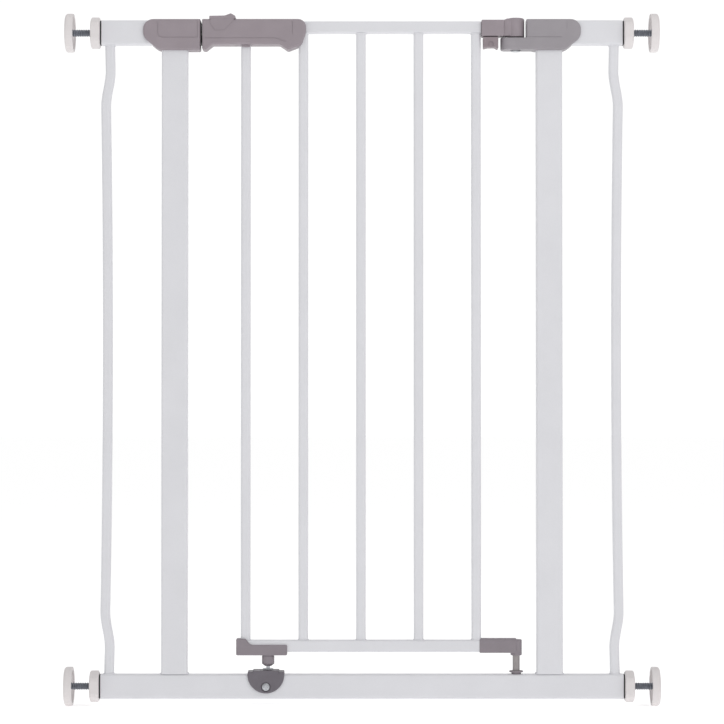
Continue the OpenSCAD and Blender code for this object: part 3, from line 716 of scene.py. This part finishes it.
def make_handle():
    corners = [
        (LATCH_X, CASE_LOW + 0.4, 2), (LATCH_X + 4.4, CASE_LOW + 0.4, 2.5),
        (LATCH_X + 11.8, GATE_H - 27, 3), (LATCH_X + 85.1, GATE_H - 27, 3), (LATCH_X + 93.9, CASE_LOW, 3),
        (LATCH_X + 108.9, CASE_LOW + 5.8, 6), (HANDLE_RIGHT, GATE_H - 14, 10),
        (HANDLE_RIGHT, CASE_TOP, 8.7), (LATCH_X, CASE_TOP, 1),
    ]
    front = half_shell("handle_front", corners, HANDLE_D)
    with_bosses(front, HANDLE_SCREWS, HANDLE_D, inner=-0.04, radius=3.4, bore=1.5)
    tab, bolt_half = BAR_X[0], BOLT_W / 2 + GAP
    add(front, brick("tab", (tab - 4.6, -8, GATE_H - 29.6), (tab + 4.8, -5.6, GATE_H - 25), 0.6))
    rooms = [
        rail_room(TOP_RAIL_LEFT - GAP, HANDLE_RIGHT + 1, TOP_RAIL_Z),
        brick("room", (LATCH_X - 1, -bolt_half, BOLT_Z - GAP),
              (LATCH_X + 3, bolt_half, BOLT_Z + BOLT_H + GAP)),
        brick("room", (LATCH_X + 11.7, -3, GATE_H - 4), (LATCH_X + 35.2, 3, CASE_TOP + 1)),
    ]
    for x in BAR_X[:2]:
        rooms.append(bar_room(x, CASE_LOW - 5, TOP_RAIL_Z))
    cut(front, *rooms)
    right, low = LATCH_X + 98.8, GATE_H - 20.2
    cut(front, groove([(right, GATE_H - 1.2), (right, GATE_H - 16)], HANDLE_D),
        groove(bend((LATCH_X + 2, low), (LATCH_X + 80, low), (LATCH_X + 92, low - 4), 12), HANDLE_D, 0.45))
    rear = rear_half(front, "handle_rear", HANDLE_SCREWS, HANDLE_D, bore=1.6, head=3.0)
    place(front, "handle_front_cover", LATCH)
    place(rear, "handle_rear_cover", LATCH)


def make_slide():
    """Thumb slide with a ramped top, side skirts and a neck down to the bolt, and the bolt itself."""
    half, skirt, skirt_t = HANDLE_D + 0.95, HANDLE_D + 0.5, 0.45
    low = CASE_TOP + 0.15
    top = slab("thumb_slide", [
        (LATCH_X + 7.9, low, 0.3), (LATCH_X + 36.4, low, 0.3), (LATCH_X + 36.4, GATE_H + 3.9, 0.8),
        (LATCH_X + 31.5, GATE_H + 6.8, 1.6), (LATCH_X + 25, GATE_H + 4.3, 8),
        (LATCH_X + 7.9, GATE_H + 4, 0.8),
    ], -half, half, 0.6, 0.6)
    parts, ribs = [], []
    for i in range(5):
        x = LATCH_X + 12 + 2.6 * i
        ribs.append(brick("rib", (x, -9, GATE_H + 3.7), (x + 0.9, 9, GATE_H + 5.2)))
    for y in (-skirt, skirt - skirt_t):
        parts.append(slab("skirt", [
            (LATCH_X + 14, GATE_H - 11.4, 1.5), (LATCH_X + 24.3, GATE_H - 11.4, 1),
            (LATCH_X + 35.2, GATE_H + 0.3, 1), (LATCH_X + 35.2, GATE_H + 2, 0),
            (LATCH_X + 9, GATE_H + 2, 0), (LATCH_X + 9, GATE_H - 4, 3),
        ], y, y + skirt_t, 0.2, 0.2))
    bolt_top = BOLT_Z + BOLT_H
    parts.append(brick("neck", (LATCH_X + 11.9, -2.4, bolt_top), (LATCH_X + 25.9, 2.4, GATE_H + 2)))
    parts.append(brick("foot", (LATCH_X + 13.9, -2.4, bolt_top - 3), (LATCH_X + 18.9, 2.4, bolt_top + 1)))
    slide = cut(add(top, *parts), *ribs)
    place(slide, "slide_button", LATCH)

    nose, end = span("latch_bolt")[0][0], span("latch_bolt")[1][0]
    bolt = slab("sliding_bolt", [
        (nose, BOLT_Z, 1.5), (end, BOLT_Z, 0.3), (end, bolt_top, 0.3), (nose, bolt_top, 1.5),
    ], -BOLT_W / 2, BOLT_W / 2, 0.5, 0.5)
    cut(bolt, brick("notch", (LATCH_X + 13.85, -8, bolt_top - 3.05), (LATCH_X + 18.95, 8, BOLT_Z + 20)))
    place(bolt, "latch_bolt", BLACK_PLASTIC_AND_SHADOW)


def make_spring():
    """Coil with closed ends behind the bolt."""
    low, high = span("return_spring")
    centre = middle("return_spring")
    whole = high[0] - low[0]
    wire = 0.4
    radius = (high[2] - low[2]) / 2 - wire
    turns, per_turn, sides = 7, 24, 10
    rings = []
    for i in range(turns * per_turn + 1):
        t = i / (turns * per_turn)
        along = t - 0.08 * math.sin(2 * math.pi * t)
        around = 2 * math.pi * turns * t
        out = np.array((0, math.cos(around), math.sin(around)))
        x = low[0] + wire + (whole - 2 * wire) * along
        path = np.array((x, centre[1], centre[2])) + radius * out
        rings.append([
            path + wire * (math.cos(a) * out + math.sin(a) * np.array((1, 0, 0)))
            for a in (2 * math.pi * j / sides for j in range(sides))
        ])
    spring = build("bolt_spring", rings)
    place(spring, "return_spring", ZINC)
    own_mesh(spring)


# Brackets and pins ----------------------------------------------------------------------

def spigot(z):
    """Block that fills the right end of the rail whose underside is at z."""
    low = (RAIL_RIGHT - 20, -RAIL_D / 2 + 1.3, z + 1.3)
    return brick("spigot", low, (RAIL_RIGHT + 3, RAIL_D / 2 - 1.3, z + RAIL_H - 1.3), 0.7)


def make_upper_hinge():
    """Bracket with its knuckle, the clip pushed up into it and the pin that the knuckle turns on."""
    right = HINGE_X - 12.9
    low = (RAIL_RIGHT + 0.3, -10, GATE_H - 17.5)
    bracket = brick("upper_knuckle_bracket", low, (right, 10, GATE_H + 0.2), 1.2)
    web = slab("web", [
        (HINGE_X - 14.5, GATE_H - 17.5, 0), (HINGE_X - 2, GATE_H - 17.5, 0),
        (HINGE_X - 2, GATE_H + 1.8, 0), (HINGE_X - 9.5, GATE_H + 1.8, 2), (HINGE_X - 14.5, GATE_H - 0.3, 0),
    ], -8, 8, 1, 1)
    knuckle = revolve("knuckle", [
        (0, GATE_H - 18), (9.2, GATE_H - 18), (9.6, GATE_H - 17.6), (9.6, GATE_H + 0.6),
        (9.4, GATE_H + 1.5), (8.8, GATE_H + 2.2), (7.6, GATE_H + 2.6), (0, GATE_H + 2.6),
    ], (HINGE_X, 0, 0), ALONG_Z, 72, loop=False)
    add(bracket, web, knuckle, spigot(TOP_RAIL_Z))
    cut(bracket, rod("bore", (HINGE_X, 0, 0), ALONG_Z, PIN_R + GAP, GATE_H - 19, GATE_H - 0.25, 48),
        brick("slot", (RAIL_RIGHT + 6.8, -3, GATE_H - 20), (RAIL_RIGHT + 14.8, 3, GATE_H - 9)))
    place(bracket, "upper_hinge_bracket", LATCH)

    clip = slab("bracket_clip_body", [
        (HINGE_X - 35.6, GATE_H - 30.6, 1), (HINGE_X - 30.5, GATE_H - 29.3, 3),
        (HINGE_X - 23, GATE_H - 29.3, 3), (HINGE_X - 21, GATE_H - 30.9, 0.5),
        (HINGE_X - 19.3, GATE_H - 30.9, 0.5),
        (HINGE_X - 19.3, GATE_H - 18.3, 1), (HINGE_X - 35.8, GATE_H - 18.3, 1),
    ], -8.5, 8.5, 0.8, 0.8)
    low, high = (RAIL_RIGHT + 6.9, -2.9, GATE_H - 19), (RAIL_RIGHT + 14.7, 2.9, GATE_H - 9.1)
    add(clip, brick("tongue", low, high, 0.4))
    cut(clip, rod("thumb", (HINGE_X - 27.5, -10.6, GATE_H - 26.5), ALONG_Y, 3.2, -3, 3, 32))
    place(clip, "bracket_clip", CLIP)

    pin = revolve("upper_hinge_rod", [
        (0, GATE_H - 34.05), (4.6, GATE_H - 34.05), (5, GATE_H - 33.7), (5, GATE_H - 32.55),
        (PIN_R, GATE_H - 32.55), (PIN_R, GATE_H - 1), (3.4, GATE_H - 0.4), (0, GATE_H - 0.4),
    ], (HINGE_X, 0, 0), ALONG_Z, 48, loop=False)
    place(pin, "top_hinge_pin", ZINC)


def make_latch_shoe():
    """Shoe that slopes down onto the bottom rail, with the boss of the latch pin under it."""
    low = LOW_RAIL_Z - 3.5
    shoe = slab("latch_shoe", [
        (LATCH_X + 37.6, low, 1.5), (LATCH_X + 93.2, low, 1.5), (LATCH_X + 93.2, low + 11.3, 1.5),
        (LATCH_X + 52.9, low + 11.3, 8), (LATCH_X + 48, low + 17.9, 1.5), (LATCH_X + 37.6, low + 17.9, 1),
    ], -8, 8, 0.8, 0.8)
    boss = revolve("boss", [
        (0, low - 12), (3.3, low - 12), (3.7, low - 11.8), (6.6, low - 9.5), (6.8, low - 9),
        (6.8, low - 1.4), (6.4, low - 1.1), (6.4, low - 0.4), (6.8, low - 0.1), (6.8, low + 0.5),
        (0, low + 0.5),
    ], (PIN_X, 0, 0), ALONG_Z, 56, loop=False)
    add(shoe, boss)
    cut(shoe, rail_room(LOW_RAIL_LEFT - GAP, LATCH_X + 96, LOW_RAIL_Z),
        bar_room(BAR_X[0], LOW_RAIL_Z + 10, LOW_RAIL_Z + 30),
        rod("bore", (PIN_X, 0, 0), ALONG_Z, 2.02, low - 13, low + 1, 32))
    place(shoe, "lower_latch_bracket", SHOE)

    z = LOW_TUBE_TOP
    pin = revolve("drop_pin", [
        (0, z + 0.4), (1.4, z + 0.4), (2, z + 1.2), (2, z + 5.2), (5.5, z + 5.2), (5.75, z + 5.45),
        (5.75, z + 5.95), (5.5, z + 6.2), (2, z + 6.2), (2, low + 1), (0, low + 1),
    ], (PIN_X, 0, 0), ALONG_Z, 40, loop=False)
    place(pin, "latch_pin", ZINC)


def make_lower_hinge():
    """Arm with bevelled upper edges, its rod and the flanged bush that the rod turns in."""
    centre = LOW_RAIL_Z + RAIL_H / 2 + 0.4
    section = [(7, 5.8, 0.8), (5, 7.8, 0.8), (-5, 7.8, 0.8), (-7, 5.8, 0.8), (-7, -7.8, 1), (7, -7.8, 1)]
    rings = []
    for x, inset in ((RAIL_RIGHT - 2.2, 0.5), (RAIL_RIGHT - 1.7, 0), (HINGE_X - 0.5, 0), (HINGE_X, 0.5)):
        rings.append(lay_yz(outline(section, inset) + np.array((0, centre)), x))
    arm = build("lower_hinge_arm", rings)
    low = LOW_RAIL_Z - 3.8
    boss = revolve("boss", [
        (0, low), (5.6, low), (6.2, low + 0.6), (6.2, low + 16.5), (5.4, low + 17.3), (0, low + 17.3),
    ], (HINGE_X, 0, 0), ALONG_Z, 56, loop=False)
    add(arm, boss)
    cut(arm, rail_room(RAIL_RIGHT - 4, RAIL_RIGHT + GAP, LOW_RAIL_Z))
    add(arm, spigot(LOW_RAIL_Z))
    cut(arm, bar_room(BAR_X[4], LOW_RAIL_Z + 13, LOW_RAIL_Z + 40),
        rod("bore", (HINGE_X, 0, 0), ALONG_Z, 3.92, low - 2, low + 14, 48))
    place(arm, "lower_hinge_bracket", SHOE)

    z = LOW_TUBE_TOP
    pin = revolve("lower_pivot_rod", [
        (0, z - 14), (3.2, z - 14), (3.9, z - 13.3),
        (3.9, LOW_RAIL_Z + 9.4), (3.3, LOW_RAIL_Z + 10), (0, LOW_RAIL_Z + 10),
    ], (HINGE_X, 0, 0), ALONG_Z, 48, loop=False)
    place(pin, "lower_hinge_rod", ROD)
    bush = revolve("lower_bush", [
        (3.95, z - 15), (5.25, z - 15), (5.25, z + 2), (7.3, z + 2), (7.7, z + 2.4), (7.7, z + 3.2),
        (7.2, z + 3.7), (4.4, z + 3.7), (3.95, z + 3.3),
    ], (HINGE_X, 0, 0), ALONG_Z, 56)
    place(bush, "lower_hinge_bush", SHOE)


def catch_half(name, y0, y1, edge_front, edge_back):
    """Disc with a flat top and a raised middle."""
    r = CATCH_R
    profile = [(0, y0)]
    for t in edge_turns(edge_front, 5):
        profile.append((r - edge_front * (1 - math.sin(t)), y0 + edge_front * (1 - math.cos(t))))
    for t in reversed(edge_turns(edge_back, 5)):
        profile.append((r - edge_back * (1 - math.sin(t)), y1 - edge_back * (1 - math.cos(t))))
    profile.append((0, y1))
    disc = revolve(name, profile, (CATCH_X, 0, LOW_AXIS + 13), ALONG_Y, 96, loop=False)
    top = LOW_TUBE_TOP
    tools = [brick("above", (CATCH_X - 25, y0 - 3, top + 4.4), (CATCH_X + 25, y1 + 3, top + 40))]
    for s in (-1, 1):
        x0, x1 = sorted((CATCH_X + s * CATCH_SHOULDER, CATCH_X + s * 30))
        tools.append(brick("above", (x0, y0 - 3, top + 3.2), (x1, y1 + 3, top + 20)))
    return cut(disc, *tools)


def make_catch():
    """Catch clamped over the bottom tube: a front with a top shelf, a rear plate, a screw and a nut."""
    back, seat = TUBE_D / 2 + GAP, -8.7
    front = catch_half("catch_case_front", -CATCH_D, TUBE_D / 2, 1.4, 0)
    cut(front, brick("room", (CATCH_X - 30, -back, 0), (CATCH_X + 30, 20, LOW_TUBE_TOP + GAP)))
    tools = [
        rod("bore", (PIN_X, 0, 0), ALONG_Z, 2.5, LOW_TUBE_TOP - 1, LOW_TUBE_TOP + 9, 32),
        rod("bore", (CATCH_X, 0, LOW_AXIS), ALONG_Y, 2.55, -12, 0, 32),
        rod("seat", (CATCH_X, 0, LOW_AXIS), ALONG_Y, 5.25, -12, seat, 48),
    ]
    for x, low in ((CATCH_X + CATCH_SHOULDER, LOW_TUBE_TOP), (CATCH_X - CATCH_SHOULDER, LOW_TUBE_TOP + 1)):
        tools.append(stroke("groove", [(x, LOW_TUBE_TOP + 6), (x, low)], 0.6, -12, -9.7))
    cut(front, *tools)
    place(soften(front, 0.3), "catch_front", CATCH)
    rear = catch_half("catch_case_rear", back, CATCH_D, 0, 1.2)
    cut(rear, rod("bore", (CATCH_X, 0, LOW_AXIS), ALONG_Y, 2.55, 0, 12, 32))
    place(soften(rear, 0.3), "catch_rear", CATCH)

    screw = screw_along_y(
        "catch_bolt", CATCH_X, LOW_AXIS, 2.5, seat, 14.0, head_r=4.35, seat=seat, crown=-10.4)
    place(screw, "catch_screw", ZINC)
    radius = 4.55
    corners = [
        (CATCH_X + radius * math.cos(t), LOW_AXIS + radius * math.sin(t), 0.4)
        for t in (math.pi * k / 3 for k in range(6))
    ]
    nut = slab("catch_hex", corners, 10.52, 13.7, 0.4, 0.4)
    cut(nut, rod("bore", (CATCH_X, 0, LOW_AXIS), ALONG_Y, 2.52, 9, 16, 32))
    place(nut, "catch_nut", ZINC)


def screw_along_y(name, x, z, r, y0, y1, head_r, seat, crown):
    """Screw along Y: a shank, and a domed cross-slot head from the seat to the crown."""
    out = 1 if crown > seat else -1
    high = abs(crown - seat)
    profile = [(0, 0), (head_r, 0), (head_r, 0.35 * high)]
    for share in (0.3, 0.6, 0.85):
        t = share * math.pi / 2
        profile.append((head_r * math.cos(t) ** 0.6, high * (0.35 + 0.65 * math.sin(t))))
    profile.append((0, high))
    head = revolve(name, profile, (x, seat, z), (0, out, 0), 40, loop=False)
    y_low, y_high = sorted((crown - out * 0.65 * high, crown + out))
    slots = []
    for w, h in ((0.62 * head_r, 0.15 * head_r), (0.15 * head_r, 0.62 * head_r)):
        slots.append(brick("slot", (x - w, y_low, z - h), (x + w, y_high, z + h)))
    cut(head, *slots)
    return join(head, rod("shank", (x, 0, z), ALONG_Y, r, y0, y1, 32))


def make_screws():
    heads = []
    for side in (-1, 1):
        for dx in (-SCREW_IN, SCREW_IN):
            x = side * (UPRIGHT_X + dx)
            heads.append(screw_along_y(
                "case_screws", x, HIGH_AXIS, 2, -10.2, 9.6, head_r=3.6, seat=9.6, crown=11.2))
    place(join(*heads), "frame_screws", ZINC)
    heads = []
    for x, z in HANDLE_SCREWS:
        heads.append(screw_along_y(
            "handle_screws", x, z, 1.48, -10.6, 10.1, head_r=2.8, seat=10.1, crown=11.6))
    place(join(*heads), "gate_screws", ZINC)


# Adjusters ------------------------------------------------------------------------------

def threaded(name, origin, axis, radius, start, end, pitch, depth):
    """Rod along X with a trapezoid thread, narrowed at its start."""
    steps = round((end - start) / pitch * 10)
    sides = 36
    axis = Vector(axis)
    rings = [[Vector(origin) + axis * start] * sides]
    for i in range(steps + 1):
        along = start + (end - start) * i / steps
        ring = []
        taper = min((along - start) / 1.2, 1)
        for j in range(sides):
            turn = j / sides
            wave = abs(2 * ((along / pitch - turn) % 1) - 1)
            r = (radius - depth * min(max(1.7 * wave - 0.35, 0), 1)) * (0.8 + 0.2 * taper)
            t = 2 * math.pi * turn
            ring.append(Vector(origin) + axis * along + r * Vector((0, math.cos(t), math.sin(t))))
        rings.append(ring)
    rings.append([Vector(origin) + axis * end] * sides)
    return build(name, rings)


def hexagon(inset):
    """Nut outline in Y and Z, with its corners up and down."""
    radius = 16 / math.cos(math.pi / 6)
    turns = [-math.pi * k / 3 for k in range(1, 7)]
    return outline([(radius * math.sin(t), radius * math.cos(t), 1.5) for t in turns], inset, 4)


def make_adjuster(side, z, corner):
    """Hand nut, threaded spindle, dished foot and wall cup at one corner."""
    origin = (side * FRAME_END, 0, z)
    axis = (side, 0, 0)

    nut = build(f"{corner}_hand_nut", [
        lay_yz(hexagon(inset) + np.array((0, z)), side * (FRAME_END + along))
        for along, inset in ((1.5, 0.7), (1.8, 0.25), (2.3, 0), (10.7, 0), (11.2, 0.25), (11.5, 0.7))
    ])
    turned = revolve("turned", [
        (0, 1.5), (15.6, 1.5), (17.2, 2.6), (17.2, 10.4), (15.6, 11.5), (0, 11.5),
    ], origin, axis, 72, loop=False)
    combine(nut, [turned], "INTERSECT")
    cut(nut, rod("bore", origin, axis, SPINDLE_R + GAP, 0, 30, 40))
    cut(nut, revolve("recess", [(0, 10.9), (7.6, 10.9), (7.9, 12), (0, 12)], origin, axis, 48, loop=False))
    place(nut, f"{corner}_nut", PALE)

    tip = REACH - 4
    name = f"{corner}_threaded_rod"
    screw = threaded(name, origin, axis, SPINDLE_R, tip - SPINDLE_LENGTH, tip, THREAD_PITCH, depth=0.75)
    place(screw, f"{corner}_spindle", THREAD, math.radians(75))

    foot = revolve(f"{corner}_swivel_foot", [(r, REACH - d) for r, d in (
        (0, 1.55), (6.5, 1.55), (18.9, 4.95), (19.5, 4.95), (19.7, 5.2), (19.7, CUP_T - 0.3),
        (19.4, CUP_T), (18.7, CUP_T), (18.2, CUP_T - 0.3), (17.6, 7.0), (12, 5.2), (7.4, 3.9),
        (6.7, 4.0), (6.5, 4.4), (6.5, 5.8), (5.8, 6.4), (4.02, 6.4), (4.02, 4), (0, 4),
    )], origin, axis, 96, loop=False)
    place(foot, f"{corner}_foot", PALE)

    radius, edge = 21.3, 3.2
    profile = [(0, REACH)]
    for t in edge_turns(edge, 8):
        profile.append((radius - edge * (1 - math.sin(t)), REACH - edge * (1 - math.cos(t))))
    profile += [(r, REACH - d) for r, d in (
        (radius, CUP_T - 0.7), (21.1, CUP_T - 0.2), (20.7, CUP_T), (20.3, CUP_T), (19.95, CUP_T - 0.2),
        (19.8, CUP_T - 0.6), (19.8, 1.9), (19.4, 1.5), (0, 1.5),
    )]
    cup = revolve(f"{corner}_wall_cup", profile, origin, axis, 96, loop=False)
    place(cup, f"{corner}_cup", PALE)


def make_plugs():
    """Guides in the tube ends, coloured black: a rounded flange and a body inside the tube. The black of
    the flange between tube end and nut is painted shadow for the dark gap there.
    """
    plugs = []
    inside = 2 * (TUBE_WALL + GAP)
    for side in (-1, 1):
        for z in (LOW_AXIS, HIGH_AXIS):
            rings = []
            for less, r, along in (
                (inside + 0.1, 0.9, -20), (inside, 0.9, -19.5), (inside, 0.9, 0),
                (0.8, 2.1, 0), (0.8, 2.1, 1.1), (1.4, 1.8, 1.4),
            ):
                section = outline(rect(TUBE_D - less, TUBE_H - less, r)) + np.array((0, z))
                rings.append(lay_yz(section, side * (FRAME_END + along)))
            plug = build("end_guides", rings)
            bore = rod("bore", (0, 0, z), (side, 0, 0), SPINDLE_R + GAP, FRAME_END - 25, FRAME_END + 5)
            plugs.append(cut(plug, bore))
    # The black flange between each tube end and its nut is painted shadow: it darkens the gap there
    place(join(*plugs), "tube_plugs", BLACK_PLASTIC_AND_SHADOW)


# The scene ------------------------------------------------------------------------------

def make_studio():
    """White room: a pale floor, soft lights above and at the front, and a plain white sky."""
    floor_mesh = bpy.data.meshes.new("floor")
    corners = [(FLOOR_HALF * x, FLOOR_HALF * y, 0) for x, y in ((-1, -1), (1, -1), (1, 1), (-1, 1))]
    floor_mesh.from_pydata(corners, [], [(0, 1, 2, 3)])
    floor = bpy.data.objects.new("floor", floor_mesh)
    bpy.context.scene.collection.objects.link(floor)
    paint = bpy.data.materials.new("floor_paint")
    paint.use_nodes = True
    shader = paint.node_tree.nodes["Principled BSDF"]
    shader.inputs["Base Color"].default_value = (0.97, 0.97, 0.97, 1)
    shader.inputs["Roughness"].default_value = 0.95
    shader.inputs["Specular IOR Level"].default_value = 0.0
    shader.inputs["Emission Color"].default_value = (1, 1, 1, 1)
    shader.inputs["Emission Strength"].default_value = 0.4
    floor_mesh.materials.append(paint)

    world = bpy.data.worlds.new("studio")
    bpy.context.scene.world = world
    world.use_nodes = True
    nodes, links = world.node_tree.nodes, world.node_tree.links
    direction = nodes.new("ShaderNodeTexCoord")
    parts = nodes.new("ShaderNodeSeparateXYZ")
    sky = nodes.new("ShaderNodeMapRange")
    sky.inputs["From Min"].default_value, sky.inputs["From Max"].default_value = 0.75, 0.95
    sky.inputs["To Min"].default_value, sky.inputs["To Max"].default_value = SKY
    links.new(direction.outputs["Generated"], parts.inputs["Vector"])
    links.new(parts.outputs["Y"], sky.inputs["Value"])
    links.new(sky.outputs["Result"], nodes["Background"].inputs["Strength"])
    nodes["Background"].inputs["Color"].default_value = (1, 1, 1, 1)

    for name, spot, size, power in LAMPS:
        data = bpy.data.lights.new(name, "AREA")
        data.size = size
        data.energy = power
        lamp = bpy.data.objects.new(name, data)
        lamp.location = spot
        lamp.rotation_euler = (Vector(AIM) - Vector(spot)).to_track_quat("-Z", "Y").to_euler()
        bpy.context.scene.collection.objects.link(lamp)


def make_camera():
    data = bpy.data.cameras.new("camera")
    data.lens = LENS
    data.sensor_width = 36
    data.clip_end = 100
    camera = bpy.data.objects.new("camera", data)
    camera.location = CAMERA
    camera.rotation_euler = (math.radians(90 + TILT), 0, 0)
    bpy.context.scene.collection.objects.link(camera)
    bpy.context.scene.camera = camera


make_tubes()
make_door_frame()
make_latch_case()
make_hinge_case()
make_handle()
make_slide()
make_spring()
make_upper_hinge()
make_latch_shoe()
make_lower_hinge()
make_catch()
make_screws()
make_plugs()
for side_name, side_sign in (("left", -1), ("right", 1)):
    make_adjuster(side_sign, HIGH_AXIS, f"top_{side_name}")
    make_adjuster(side_sign, LOW_AXIS, f"bottom_{side_name}")

make_studio()
make_camera()
bpy.context.scene.view_settings.view_transform = "Standard"
